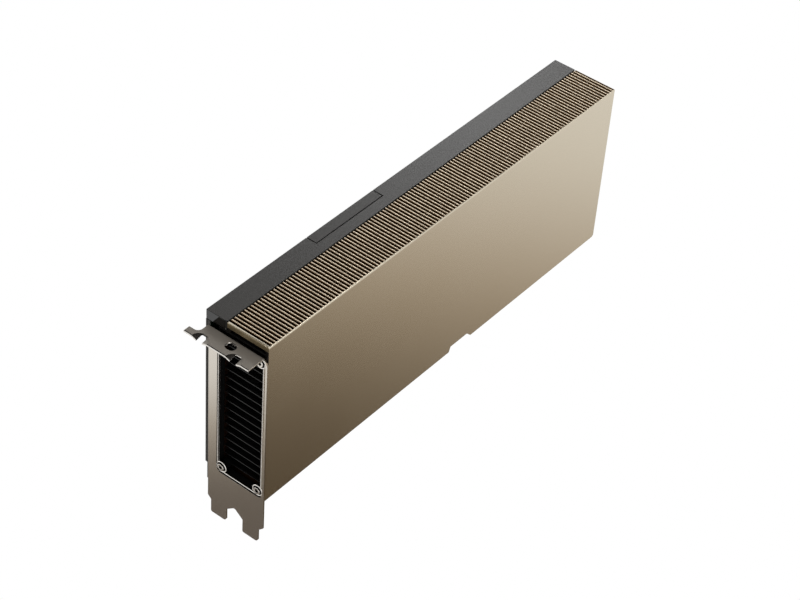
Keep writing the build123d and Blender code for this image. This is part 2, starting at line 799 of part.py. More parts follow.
# Rear frame, a ring in the shroud's open end
with BuildPart() as rear_frame:
    rear_x = x_rear - rear_frame_inset - rear_frame_length
    rear_low = z_floor + shroud_floor_wall
    rear_high = z_ceiling - seat_gap
    rear_right = y_face + shroud_face_wall + seat_gap
    rear_left = y_face + shroud_top_width - shroud_lip - seat_gap
    rear_spots = [
        (y, z)
        for y in (rear_right + rear_frame_boss, rear_left - rear_frame_boss)
        for z in (rear_low + rear_frame_boss, rear_high - rear_frame_boss)
    ]
    with BuildSketch(mode=Mode.PRIVATE) as rear_opening:
        Rectangle(
            rear_left - rear_right - 2 * rear_frame_wall,
            rear_high - rear_low - 2 * rear_frame_wall,
        )
        chamfer(rear_opening.vertices(), 2 * rear_frame_boss - rear_frame_wall)
    with BuildSketch(Plane.YZ.offset(rear_x)) as rear_ring:
        with Locations(((rear_left + rear_right) / 2, (rear_low + rear_high) / 2)):
            Rectangle(rear_left - rear_right, rear_high - rear_low)
        rear_corners = [
            near(rear_ring, rear_right, rear_low),
            near(rear_ring, rear_right, rear_high),
            near(rear_ring, rear_left, rear_high),
        ]
        chamfer(rear_corners, shroud_inner_radius)
        with Locations(((rear_left + rear_right) / 2, (rear_low + rear_high) / 2)):
            add(rear_opening.sketch, mode=Mode.SUBTRACT)
        for spot in rear_spots:
            with Locations(spot):
                Circle(rear_frame_thread / 2, mode=Mode.SUBTRACT)
    extrude(amount=rear_frame_length)
rear_frame.part.label = "rear_frame"
export_step(rear_frame.part, "parts/rear_frame.step")

# Standoffs between the board and the heatsink base
with BuildPart() as standoffs:
    with BuildSketch(side_plane(y_component)):
        for spot in package_screw_spots:
            with Locations(spot):
                RegularPolygon(standoff_across / 2, 6, major_radius=False)
                Circle(clearance_hole / 2, mode=Mode.SUBTRACT)
    extrude(amount=base_gap)
standoffs.part.label = "standoffs"
export_step(standoffs.part, "parts/standoffs.step")

# Screws through the backplate and the board into the standoffs
with BuildPart() as package_screws:
    with BuildSketch(side_plane(y_back)):
        for spot in package_screw_spots:
            with Locations(spot):
                RegularPolygon(package_screw_head / 2, 6, major_radius=False)
    extrude(amount=-package_screw_head_height)
    with BuildSketch(side_plane(y_back)):
        for spot in package_screw_spots:
            with Locations(spot):
                Circle(package_screw_shank / 2)
    extrude(amount=y_back - y_component + base_gap - seat_gap)
package_screws.part.label = "package_screws"
export_step(package_screws.part, "parts/package_screws.step")
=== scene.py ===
import math

import bmesh
import bpy
from mathutils import Matrix, Vector


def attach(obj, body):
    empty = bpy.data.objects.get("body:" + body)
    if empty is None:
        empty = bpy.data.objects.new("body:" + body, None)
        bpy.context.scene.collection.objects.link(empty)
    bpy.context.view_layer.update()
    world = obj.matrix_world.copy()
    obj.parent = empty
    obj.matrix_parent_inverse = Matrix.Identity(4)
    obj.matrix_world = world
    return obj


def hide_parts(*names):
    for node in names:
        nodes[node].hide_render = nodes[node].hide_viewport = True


mm = 0.001

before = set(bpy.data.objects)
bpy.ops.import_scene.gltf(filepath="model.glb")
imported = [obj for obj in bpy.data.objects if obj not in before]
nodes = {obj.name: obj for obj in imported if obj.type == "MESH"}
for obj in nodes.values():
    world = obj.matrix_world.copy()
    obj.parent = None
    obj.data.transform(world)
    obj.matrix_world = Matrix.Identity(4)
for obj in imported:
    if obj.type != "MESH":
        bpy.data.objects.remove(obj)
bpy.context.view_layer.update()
print("frame loaded:", len(nodes), "nodes")

# planes of the card that several pieces share, in millimetres
card = {
    "frontX": -57.15,
    "rearX": 210.55,
    "topZ": 111.15,
    "floorZ": 13.65,
    "faceY": -35.925,
    "backY": 1.985,
}


class Signal:
    # an output of a shader node, so that maths on it reads as maths
    def __init__(self, finish, socket):
        self.finish = finish
        self.socket = socket

    def __add__(self, other):
        return self.finish.maths("ADD", self, other)

    def __radd__(self, other):
        return self.finish.maths("ADD", other, self)

    def __sub__(self, other):
        return self.finish.maths("SUBTRACT", self, other)

    def __rsub__(self, other):
        return self.finish.maths("SUBTRACT", other, self)

    def __mul__(self, other):
        return self.finish.maths("MULTIPLY", self, other)

    def __rmul__(self, other):
        return self.finish.maths("MULTIPLY", other, self)

    def __gt__(self, other):
        return self.finish.maths("GREATER_THAN", self, other)


class Finish:
    # the nodes of one material, or of the world that it is given
    def __init__(self, name, world=None):
        self.owner = world or bpy.data.materials.new(name)
        self.owner.use_nodes = True
        self.tree = self.owner.node_tree
        self.tree.nodes.clear()
        self.place = None if world else self.add("ShaderNodeTexCoord", output="Object")

    def add(self, kind, settings=None, inputs=None, output=0):
        node = self.tree.nodes.new(kind)
        for key, value in (settings or {}).items():
            setattr(node, key, value)
        for key, value in (inputs or {}).items():
            self.feed(node.inputs[key], value)
        return Signal(self, node.outputs[output]) if len(node.outputs) else None

    def feed(self, socket, value):
        if isinstance(value, Signal):
            self.tree.links.new(value.socket, socket)
        else:
            socket.default_value = value

    def maths(self, operation, first, second):
        return self.add("ShaderNodeMath", {"operation": operation}, {0: first, 1: second})

    def blend(self, factor, first, second):
        return self.add("ShaderNodeMix", {"data_type": "RGBA"}, {0: factor, 6: first, 7: second}, output=2)

    def axis(self, name):
        return self.add("ShaderNodeSeparateXYZ", None, {0: self.place}, output=name)

    def stretched(self, scale):
        return self.add("ShaderNodeMapping", None, {"Vector": self.place, "Scale": scale})

    def noise(self, scale, detail=2.0, vector=None):
        inputs = {"Vector": vector or self.place, "Scale": scale, "Detail": detail}
        return self.add("ShaderNodeTexNoise", None, inputs)

    def bump(self, height, distance, strength=1.0):
        inputs = {"Height": height, "Distance": distance, "Strength": strength}
        return self.add("ShaderNodeBump", None, inputs)

    def surface(self, sockets):
        shader = self.add("ShaderNodeBsdfPrincipled", None, sockets)
        self.add("ShaderNodeOutputMaterial", None, {"Surface": shader})
        return self.owner


def tint(red, green, blue):
    return (red, green, blue, 1.0)


# Finishes

champagne = {
    "face": {
        "pale": tint(0.635, 0.568, 0.450), "deep": tint(0.605, 0.540, 0.420),
        "roughness": 0.22, "grain": 0.000002,
    },
    "rib": {
        "pale": tint(0.660, 0.565, 0.430), "deep": tint(0.620, 0.525, 0.395),
        "roughness": 0.34, "grain": 0.0,
    },
    # painted shade: a dark brown copy of the champagne for the ribs' rounded sides
    "ribSideShade": {
        "pale": tint(0.240, 0.130, 0.055), "deep": tint(0.210, 0.112, 0.047),
        "roughness": 0.45, "grain": 0.0,
    },
}


def makeChampagne(name, sizes):
    finish = Finish(name)
    cloud = finish.noise(scale=18.0, detail=3.0)
    speckle = finish.noise(scale=2400.0, detail=2.0)
    sockets = {
        "Base Color": finish.blend(cloud * 0.5 + speckle * 0.5, sizes["deep"], sizes["pale"]),
        "Metallic": 1.0,
        "Roughness": cloud * 0.04 + speckle * 0.04 + (sizes["roughness"] - 0.04),
    }
    if sizes["grain"]:
        sockets["Normal"] = finish.bump(finish.noise(scale=5200.0, detail=1.0), distance=sizes["grain"])
    return finish.surface(sockets)


# painted shade in the grooves and inside the duct, on the same gold that the shroud is made of
grooveShadeColours = {
    "front": tint(0.012, 0.0040, 0.0010),
    "rear": tint(0.190, 0.110, 0.038),
    "roughness": 0.6,
}


def makeGrooveShade(name, sizes):
    finish = Finish(name)
    cloud = finish.noise(scale=220.0, detail=3.0)
    # painted shade: near black at the card's front end, browner towards the rear
    rearwards = finish.add(
        "ShaderNodeMapRange",
        None,
        {"Value": finish.axis("X"), "From Min": card["frontX"] * mm, "From Max": card["rearX"] * mm},
    )
    return finish.surface(
        {
            "Base Color": finish.blend(rearwards + (cloud * 0.08 - 0.04), sizes["front"], sizes["rear"]),
            "Metallic": 1.0,
            "Roughness": cloud * 0.2 + (sizes["roughness"] - 0.1),
        }
    )


plastics = {
    "rail": {
        "deep": tint(0.022, 0.020, 0.018), "pale": tint(0.028, 0.026, 0.0235),
        "roughness": 0.28, "specular": 0.68,
    },
    "cover": {
        "deep": tint(0.026, 0.0245, 0.0225), "pale": tint(0.032, 0.030, 0.0275),
        "roughness": 0.30, "specular": 0.6,
    },
    # a glossier copy of the rail plastic for its end faces and rounded edges, darker as painted shade
    "railEndShade": {
        "deep": tint(0.002, 0.002, 0.002), "pale": tint(0.003, 0.003, 0.003),
        "roughness": 0.07, "specular": 0.6,
    },
    "frame": {
        "deep": tint(0.002, 0.002, 0.002), "pale": tint(0.004, 0.004, 0.004),
        "roughness": 0.6, "specular": 0.15,
    },
    "socket": {
        "deep": tint(0.012, 0.012, 0.012), "pale": tint(0.020, 0.020, 0.020),
        "roughness": 0.45, "specular": 0.5,
    },
    "chip": {
        "deep": tint(0.015, 0.015, 0.015), "pale": tint(0.024, 0.024, 0.024),
        "roughness": 0.6, "specular": 0.4,
    },
    "pad": {
        "deep": tint(0.17, 0.17, 0.18), "pale": tint(0.23, 0.23, 0.24),
        "roughness": 0.8, "specular": 0.3,
    },
    "ferrite": {
        "deep": tint(0.035, 0.035, 0.036), "pale": tint(0.055, 0.055, 0.056),
        "roughness": 0.7, "specular": 0.4,
    },
    "film": {
        "deep": tint(0.012, 0.012, 0.013), "pale": tint(0.018, 0.018, 0.019),
        "roughness": 0.25, "specular": 0.6,
    },
}


def makePlastic(name, sizes):
    finish = Finish(name)
    cloud = finish.noise(scale=45.0, detail=3.0)
    grain = finish.noise(scale=9000.0, detail=2.0)
    return finish.surface(
        {
            "Base Color": finish.blend(cloud * 0.75 + grain * 0.25, sizes["deep"], sizes["pale"]),
            "Roughness": grain * 0.04 + (sizes["roughness"] - 0.02),
            "Specular IOR Level": sizes["specular"],
            "Normal": finish.bump(grain, distance=0.0000005),
        }
    )


metals = {
    "nickel": {
        "deep": tint(0.645, 0.60, 0.535), "pale": tint(0.675, 0.635, 0.565),
        "roughness": 0.11, "brush": (200.0, 2600.0, 200.0),
    },
    # painted highlight: a brighter copy of the nickel, for the vent's lip, the bracket's rounded edges, the
    # tab's front edge and the screws' crowns
    "lip": {
        "deep": tint(0.86, 0.83, 0.78), "pale": tint(0.94, 0.91, 0.86),
        "roughness": 0.26, "brush": (900.0, 900.0, 900.0),
    },
    "shade": {
        "deep": tint(0.012, 0.011, 0.010), "pale": tint(0.030, 0.027, 0.024),
        "roughness": 0.45, "brush": (900.0, 900.0, 900.0),
    },
    # painted shade: a darker copy of the nickel for the tab's dimples
    "dimple": {
        "deep": tint(0.25, 0.23, 0.205), "pale": tint(0.29, 0.27, 0.24),
        "roughness": 0.35, "brush": (900.0, 900.0, 900.0),
    },
    "fin": {
        "deep": tint(0.05, 0.05, 0.05), "pale": tint(0.09, 0.09, 0.09),
        "roughness": 0.42, "brush": (40.0, 1200.0, 1200.0),
    },
    "copper": {
        "deep": tint(0.045, 0.020, 0.012), "pale": tint(0.10, 0.045, 0.028),
        "roughness": 0.5, "brush": (40.0, 1200.0, 1200.0),
    },
    "gold": {
        "deep": tint(0.58, 0.37, 0.13), "pale": tint(0.72, 0.48, 0.18),
        "roughness": 0.25, "brush": (1500.0, 1500.0, 200.0),
    },
    "brass": {
        "deep": tint(0.42, 0.29, 0.11), "pale": tint(0.52, 0.38, 0.16),
        "roughness": 0.32, "brush": (900.0, 900.0, 900.0),
    },
    "tin": {
        "deep": tint(0.42, 0.42, 0.43), "pale": tint(0.55, 0.55, 0.56),
        "roughness": 0.38, "brush": (900.0, 900.0, 900.0),
    },
    "silicon": {
        "deep": tint(0.09, 0.09, 0.10), "pale": tint(0.13, 0.13, 0.15),
        "roughness": 0.12, "brush": (300.0, 300.0, 300.0),
    },
}


def makeMetal(name, sizes):
    finish = Finish(name)
    cloud = finish.noise(scale=60.0, detail=3.0)
    streak = finish.noise(scale=1.0, detail=3.0, vector=finish.stretched(sizes["brush"]))
    return finish.surface(
        {
            "Base Color": finish.blend(cloud * 0.4 + streak * 0.6, sizes["deep"], sizes["pale"]),
            "Metallic": 1.0,
            "Roughness": streak * 0.03 + (sizes["roughness"] - 0.015),
        }
    )


coats = {
    "backplate": {
        "deep": tint(0.012, 0.012, 0.012), "pale": tint(0.022, 0.022, 0.022),
        "roughness": 0.5,
    },
    "screwBlack": {
        "deep": tint(0.012, 0.012, 0.012), "pale": tint(0.030, 0.030, 0.030),
        "roughness": 0.38,
    },
    "boardEdge": {
        "deep": tint(0.055, 0.052, 0.046), "pale": tint(0.075, 0.070, 0.062),
        "roughness": 0.55,
    },
    "rearFrame": {
        "deep": tint(0.014, 0.014, 0.014), "pale": tint(0.024, 0.024, 0.024),
        "roughness": 0.5,
    },
}


def makeCoat(name, sizes):
    finish = Finish(name)
    cloud = finish.noise(scale=30.0, detail=4.0)
    peel = finish.noise(scale=1500.0, detail=2.0)
    return finish.surface(
        {
            "Base Color": finish.blend(cloud * 0.5 + peel * 0.5, sizes["deep"], sizes["pale"]),
            "Metallic": 0.15,
            "Roughness": peel * 0.14 + (sizes["roughness"] - 0.07),
            "Normal": finish.bump(peel, distance=0.000012),
        }
    )


laminate = {
    "mask": tint(0.006, 0.020, 0.010),
    "trace": tint(0.012, 0.038, 0.018),
    "traceScale": 420.0,
    "roughness": 0.32,
}


def makeLaminate(name, sizes):
    finish = Finish(name)
    cloud = finish.noise(scale=50.0, detail=2.0)
    run = finish.add(
        "ShaderNodeTexVoronoi",
        {"distance": "MANHATTAN", "feature": "F1"},
        {"Vector": finish.place, "Scale": sizes["traceScale"]},
    )
    trace = finish.add("ShaderNodeMath", {"operation": "PINGPONG"}, {0: run, 1: 0.18}) > 0.11
    return finish.surface(
        {
            "Base Color": finish.blend(trace, sizes["mask"], sizes["trace"]),
            "Roughness": cloud * 0.1 + (sizes["roughness"] - 0.05),
            "Specular IOR Level": 0.5,
            "Normal": finish.bump(trace, distance=0.00002, strength=0.4),
        }
    )


# where painted highlight or painted shade ends and the next finish begins on a face
borders = {
    "band": 2.9,         # height of the darker champagne band of painted shade on the shroud's front end; below it, near black painted shade
    "nearRim": 2.1,      # width of the strip beside the vent that keeps the plain nickel, from the card's face; the rest of the recess is painted shade
    "tabFront": -67.72,
    "tabShadeLine": 0.6,      # painted shade line along the tab's front edge
    "cutLine": 104.15,   # above it the cut walls of the tab's holes carry a painted highlight, below it painted shade
}


def makePartedMetal(name, inner, outer, axisName, limit, metallic=1.0):
    # two metals parted along an axis: "inner" beyond the limit, "outer" before it
    finish = Finish(name)
    cloud = finish.noise(scale=900.0, detail=3.0)
    beyond = finish.axis(axisName) > limit * mm
    dark = finish.blend(cloud, inner["deep"], inner["pale"])
    pale = finish.blend(cloud, outer["deep"], outer["pale"])
    step = inner["roughness"] - outer["roughness"]
    rough = beyond * step + (cloud * 0.03 + (outer["roughness"] - 0.015))
    return finish.surface(
        {"Base Color": finish.blend(beyond, pale, dark), "Metallic": metallic, "Roughness": rough}
    )


champagneMaterial = makeChampagne("champagneMetal", champagne["face"])
# painted shade on the shroud's front end: a darker champagne band at the top and near black below it
shadedFrontBand = {"deep": tint(0.21, 0.165, 0.095), "pale": tint(0.24, 0.190, 0.112), "roughness": 0.5}
frontEndShadeMaterial = makePartedMetal(
    "shroudEndShade", shadedFrontBand, metals["shade"], "Z", card["topZ"] - borders["band"]
)
# painted shade over the bracket's recess, save a strip of plain nickel beside the card's face
recessShadeMaterial = makePartedMetal(
    "recessShadedNickel", metals["shade"], metals["nickel"], "Y", card["faceY"] + borders["nearRim"]
)
# painted shade: the tab's top is a darker, less metallic copy of the bracket's nickel, with a line of
# painted shade along its front edge
shadedTabTop = {"deep": tint(0.236, 0.211, 0.181), "pale": tint(0.253, 0.227, 0.195), "roughness": 0.3}
tabShadeMaterial = makePartedMetal(
    "tabShadedNickel", shadedTabTop, metals["shade"], "X", borders["tabFront"] + borders["tabShadeLine"], 0.3
)
# painted highlight above the cut line and painted shade below it, on the tab's cut walls
cutHighlightShadeMaterial = makePartedMetal("cutHighlightAndShade", metals["lip"], metals["shade"], "Z", borders["cutLine"])
ribMaterial = makeChampagne("ribMetal", champagne["rib"])
ribSideShadeMaterial = makeChampagne("ribSideShadeMetal", champagne["ribSideShade"])
grooveShadeMaterial = makeGrooveShade("paintedGrooveShade", grooveShadeColours)
plasticMaterials = {key: makePlastic(key + "Plastic", sizes) for key, sizes in plastics.items()}
metalMaterials = {key: makeMetal(key + "Metal", sizes) for key, sizes in metals.items()}
coatMaterials = {key: makeCoat(key + "Coat", sizes) for key, sizes in coats.items()}
laminateMaterial = makeLaminate("boardLaminate", laminate)
print("finishes made:", len(bpy.data.materials))


# Making pieces

meshing = {
    "merge": 0.002,      # corners closer than this become one
    "flatAngle": 0.6,    # degrees
    "sharpAngle": 35,
    "bevelAngle": 40,
}


def addPiece(name, mesh, material, replaced=()):
    piece = bpy.data.objects.new(name, mesh)
    bpy.context.scene.collection.objects.link(piece)
    piece.data.materials.clear()
    piece.data.materials.append(material)
    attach(piece, "root")
    for node in replaced:
        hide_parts(node)
    return piece


def smoothWithSharpEdges(mesh, angle=meshing["sharpAngle"]):
    mesh.polygons.foreach_set("use_smooth", [True] * len(mesh.polygons))
    mesh.set_sharp_from_angle(angle=math.radians(angle))
    mesh.update()


def mergeCorners(work):
    bmesh.ops.remove_doubles(work, verts=work.verts, dist=meshing["merge"] * mm)


def joinFlats(work):
    flat = math.radians(meshing["flatAngle"])
    bmesh.ops.dissolve_limit(work, angle_limit=flat, verts=work.verts, edges=work.edges)


def softenedCopy(name, node, material, width, segments=2):
    # the CAD node again, its triangles joined and its sharp edges rounded a little
    mesh = nodes[node].data.copy()
    work = bmesh.new()
    work.from_mesh(mesh)
    mergeCorners(work)
    joinFlats(work)
    work.to_mesh(mesh)
    work.free()
    smoothWithSharpEdges(mesh)
    piece = addPiece(name, mesh, material, [node])
    bevel = piece.modifiers.new("edges", "BEVEL")
    bevel.width = width * mm
    bevel.segments = segments
    bevel.limit_method = "ANGLE"
    bevel.angle_limit = math.radians(meshing["bevelAngle"])
    bevel.use_clamp_overlap = True
    flat = piece.modifiers.new("flats", "WEIGHTED_NORMAL")
    flat.keep_sharp = True
    flat.weight = 100
    return piece


def paintFaces(piece, material, chosen):
    # the faces that the test picks get a finish of their own; it is given millimetres
    piece.data.materials.append(material)
    index = len(piece.data.materials) - 1
    for face in piece.data.polygons:
        if chosen(face.center / mm, face.normal):
            face.material_index = index
    return index


class Repeat:
    # a Geometry Nodes tree with named sizes, run once and turned into a plain mesh
    def __init__(self, name, sizes):
        self.group = bpy.data.node_groups.new(name, "GeometryNodeTree")
        self.sizes = sizes
        face = self.group.interface
        face.new_socket("Geometry", in_out="INPUT", socket_type="NodeSocketGeometry")
        face.new_socket("Geometry", in_out="OUTPUT", socket_type="NodeSocketGeometry")
        kinds = {int: "NodeSocketInt", float: "NodeSocketFloat", tuple: "NodeSocketVector"}
        self.identifiers = {}
        for key, value in sizes.items():
            socket = face.new_socket(key, in_out="INPUT", socket_type=kinds[type(value)])
            self.identifiers[key] = socket.identifier
        self.start = self.group.nodes.new("NodeGroupInput")
        self.end = self.group.nodes.new("NodeGroupOutput")

    def size(self, key):
        return self.start.outputs[key]

    def geometry(self):
        return self.start.outputs["Geometry"]

    def add(self, kind, settings=None, inputs=None, output=0):
        node = self.group.nodes.new(kind)
        for key, value in (settings or {}).items():
            setattr(node, key, value)
        for key, value in (inputs or {}).items():
            socket = node.inputs[key]
            if isinstance(value, bpy.types.NodeSocket):
                self.group.links.new(value, socket)
            else:
                socket.default_value = value
        return node.outputs[output]

    def run(self, startMesh, instances, material):
        realised = self.add("GeometryNodeRealizeInstances", None, {"Geometry": instances})
        finished = self.add("GeometryNodeSetMaterial", None, {"Geometry": realised, "Material": material})
        self.group.links.new(finished, self.end.inputs["Geometry"])
        maker = bpy.data.objects.new("maker", startMesh)
        bpy.context.scene.collection.objects.link(maker)
        modifier = maker.modifiers.new("repeat", "NODES")
        modifier.node_group = self.group
        for key, value in self.sizes.items():
            modifier[self.identifiers[key]] = value
        depsgraph = bpy.context.evaluated_depsgraph_get()
        mesh = bpy.data.meshes.new_from_object(maker.evaluated_get(depsgraph))
        maker.modifiers.remove(modifier)
        bpy.data.objects.remove(maker)
        return mesh


def meshOf(points, edges=(), faces=()):
    mesh = bpy.data.meshes.new("points")
    mesh.from_pydata([Vector(point) * mm for point in points], edges, faces)
    return mesh


# Shroud: a plain shell, a rim round its top and ribs across it

shroud = {
    "front": 1.2,        # bracket's outer face to the shroud's front end
    "topWidth": 24.8,
}

ribs = {
    "firstGroove": 3.01,  # bracket's outer face to the first groove's centre
    "pitch": 2.165,
    "groove": 1.14,
    "depth": 1.2,
    "endWall": 0.45,
    "edge": 0.2,         # radius along a rib
    "rimEdge": 0.2,
    "count": 122,
}


def makeShroudShell():
    mesh = nodes["shroud"].data.copy()
    work = bmesh.new()
    work.from_mesh(mesh)
    mergeCorners(work)
    # the ribs go, and the shell closes at the grooves' floor
    cutZ = (card["topZ"] - ribs["depth"]) * mm
    everything = work.verts[:] + work.edges[:] + work.faces[:]
    cut = bmesh.ops.bisect_plane(
        work, geom=everything, plane_co=(0, 0, cutZ - 0.0005 * mm), plane_no=(0, 0, 1), clear_outer=True
    )
    rim = [item for item in cut["geom_cut"] if isinstance(item, bmesh.types.BMEdge)]
    bmesh.ops.contextual_create(work, geom=rim)
    joinFlats(work)
    bmesh.ops.recalc_face_normals(work, faces=work.faces)
    work.to_mesh(mesh)
    work.free()
    smoothWithSharpEdges(mesh)
    shell = addPiece("shroudShell", mesh, champagneMaterial, ["shroud"])

    def inShade(place, normal):
        # painted shade on the grooves' floor and the duct's inner walls
        outside = place.y < card["faceY"] + 0.3 or place.z < card["floorZ"] + 0.3 or abs(normal.x) > 0.5
        return place.z > cutZ / mm - 0.01 or not outside

    def frontEnd(place, normal):
        return normal.x < -0.9 and place.x < card["frontX"] + 3.0

    paintFaces(shell, grooveShadeMaterial, inShade)
    # painted shade on the shroud's front end
    paintFaces(shell, frontEndShadeMaterial, frontEnd)


def makeRibRim():
    # the front border, the face's upper edge and the thin rear wall, round the grooves' ends
    front = card["frontX"] + shroud["front"]
    border = card["frontX"] + ribs["firstGroove"] - ribs["groove"] / 2
    lipY = card["faceY"] + shroud["topWidth"]
    wall = ribs["endWall"]
    outline = [
        (front, lipY),
        (front, card["faceY"]),
        (card["rearX"], card["faceY"]),
        (card["rearX"], lipY),
        (card["rearX"] - wall, lipY),
        (card["rearX"] - wall, card["faceY"] + wall),
        (border, card["faceY"] + wall),
        (border, lipY),
    ]
    count = len(outline)
    low = [(x, y, card["topZ"] - ribs["depth"]) for x, y in outline]
    high = [(x, y, card["topZ"]) for x, y in outline]
    sides = [(i, (i + 1) % count, (i + 1) % count + count, i + count) for i in range(count)]
    # the top and the underside are three strips each, because the outline is hollow
    strips = [(0, 1, 6, 7), (1, 2, 5, 6), (2, 3, 4, 5)]
    tops = [tuple(i + count for i in strip) for strip in strips]
    unders = [tuple(reversed(strip)) for strip in strips]
    mesh = meshOf(low + high, [], sides + tops + unders)
    work = bmesh.new()
    work.from_mesh(mesh)
    bmesh.ops.recalc_face_normals(work, faces=work.faces)
    topZ = card["topZ"] * mm

    def onTop(edge):
        return all(abs(vertex.co.z - topZ) < 0.01 * mm for vertex in edge.verts)

    upper = [edge for edge in work.edges if onTop(edge) and edge.calc_face_angle() > 0.5]
    bmesh.ops.bevel(
        work,
        geom=upper,
        offset=ribs["rimEdge"] * mm,
        segments=3,
        profile=0.5,
        affect="EDGES",
        clamp_overlap=True,
    )
    work.to_mesh(mesh)
    work.free()
    smoothWithSharpEdges(mesh)
    rim = addPiece("shroudRim", mesh, champagneMaterial, ["shroud"])
    rearStart = card["rearX"] - wall - 0.05
    # painted shade on the rim's front end
    paintFaces(rim, frontEndShadeMaterial, lambda place, normal: normal.x < -0.9 and place.x < front + 0.1)
    # painted shade on the rear wall's inner faces
    paintFaces(rim, grooveShadeMaterial, lambda place, normal: place.x > rearStart and normal.y > -0.5)


def makeRibs():
    ribWidth = ribs["pitch"] - ribs["groove"]
    firstRib = card["frontX"] + ribs["firstGroove"] + ribs["pitch"] / 2
    lipY = card["faceY"] + shroud["topWidth"]
    middle = card["topZ"] - ribs["depth"] / 2
    faceEnd = card["faceY"] + ribs["endWall"] / 2
    path = meshOf([(firstRib, lipY, middle), (firstRib, faceEnd, middle)], [(0, 1)])
    sizes = {
        "Pitch": ribs["pitch"] * mm,
        "Rib width": ribWidth * mm,
        "Rib depth": ribs["depth"] * mm,
        "Edge radius": ribs["edge"] * mm,
        "Count": ribs["count"],
    }
    tree = Repeat("ribRow", sizes)
    line = tree.add("GeometryNodeMeshToCurve", None, {"Mesh": tree.geometry()})
    line = tree.add("GeometryNodeSetCurveNormal", {"mode": "FREE"}, {"Curve": line, "Normal": (1, 0, 0)})
    profile = tree.add(
        "GeometryNodeCurvePrimitiveQuadrilateral",
        {"mode": "RECTANGLE"},
        {"Width": tree.size("Rib width"), "Height": tree.size("Rib depth")},
    )
    profile = tree.add(
        "GeometryNodeFilletCurve",
        {"mode": "POLY"},
        {"Curve": profile, "Radius": tree.size("Edge radius"), "Count": 3},
    )
    bar = tree.add(
        "GeometryNodeCurveToMesh", None, {"Curve": line, "Profile Curve": profile, "Fill Caps": True}
    )
    step = tree.add("ShaderNodeCombineXYZ", None, {"X": tree.size("Pitch")})
    places = tree.add("GeometryNodeMeshLine", None, {"Count": tree.size("Count"), "Offset": step})
    bars = tree.add("GeometryNodeInstanceOnPoints", None, {"Points": places, "Instance": bar})
    mesh = tree.run(path, bars, ribMaterial)
    smoothWithSharpEdges(mesh)
    row = addPiece("shroudRibs", mesh, ribMaterial, ["shroud"])
    # painted shade on the ribs' upright walls
    paintFaces(row, grooveShadeMaterial, lambda place, normal: abs(normal.x) > 0.9)
    # painted shade on the ribs' rounded sides
    paintFaces(row, ribSideShadeMaterial, lambda place, normal: 0.12 < abs(normal.x) < 0.9)


makeShroudShell()
makeRibRim()
makeRibs()
print("shroud made, ribs:", ribs["count"])

# Rail, cover, bracket and the other sheets

# width of the rounding along each piece's sharp edges
softEdge = {
    "rail": 0.18,
    "board": 0.05,
    "cover": 0.15,
    "bracket": 0.12,
    "backplate": 0.12,
    "duct": 0.12,
    "rearRing": 0.15,
    "socket": 0.1,
}

railChannel = softenedCopy(
    "railChannel", "top_rail", plasticMaterials["rail"], softEdge["rail"]
)
# painted shade on the rail's end faces and rounded edges
railChannel.modifiers["edges"].material = paintFaces(
    railChannel, plasticMaterials["railEndShade"], lambda place, normal: abs(normal.x) > 0.9
)
boardSheet = softenedCopy(
    "boardSheet", "circuit_board", laminateMaterial, softEdge["board"]
)
paintFaces(boardSheet, coatMaterials["boardEdge"], lambda place, normal: abs(normal.y) < 0.3)
softenedCopy("bridgePlate", "bridge_cover", plasticMaterials["cover"], softEdge["cover"])
slotBracket = softenedCopy(
    "slotBracket", "bracket", metalMaterials["nickel"], softEdge["bracket"], 3
)
backPanel = softenedCopy(
    "backPanel", "backplate", coatMaterials["backplate"], softEdge["backplate"]
)
paintFaces(backPanel, coatMaterials["boardEdge"], lambda place, normal: normal.x < -0.9)
softenedCopy("ductFrame", "front_frame", plasticMaterials["frame"], softEdge["duct"])
softenedCopy(
    "rearRing", "rear_frame", coatMaterials["rearFrame"], softEdge["rearRing"]
)
softenedCopy(
    "socketBody", "power_socket", plasticMaterials["socket"], softEdge["socket"]
)
print("sheets and mouldings made")

# Lip round the vent, with a ring round each of its screws

vent = {
    "near": 2.1,         # from the card's face
    "far": 29.35,
    "low": 95.15,        # from the top of the card
    "high": 9.9,
    "plane": 0.6,        # behind the bracket's outer face
    "lip": 0.34,
    "lobe": 2.9,         # radius of the ring round a screw
    "lobeSteps": 32,
    "screwNear": 4.07,
    "screwFar": 26.89,
    "screwLow": 92.4,
    "screwHigh": 11.0,
}


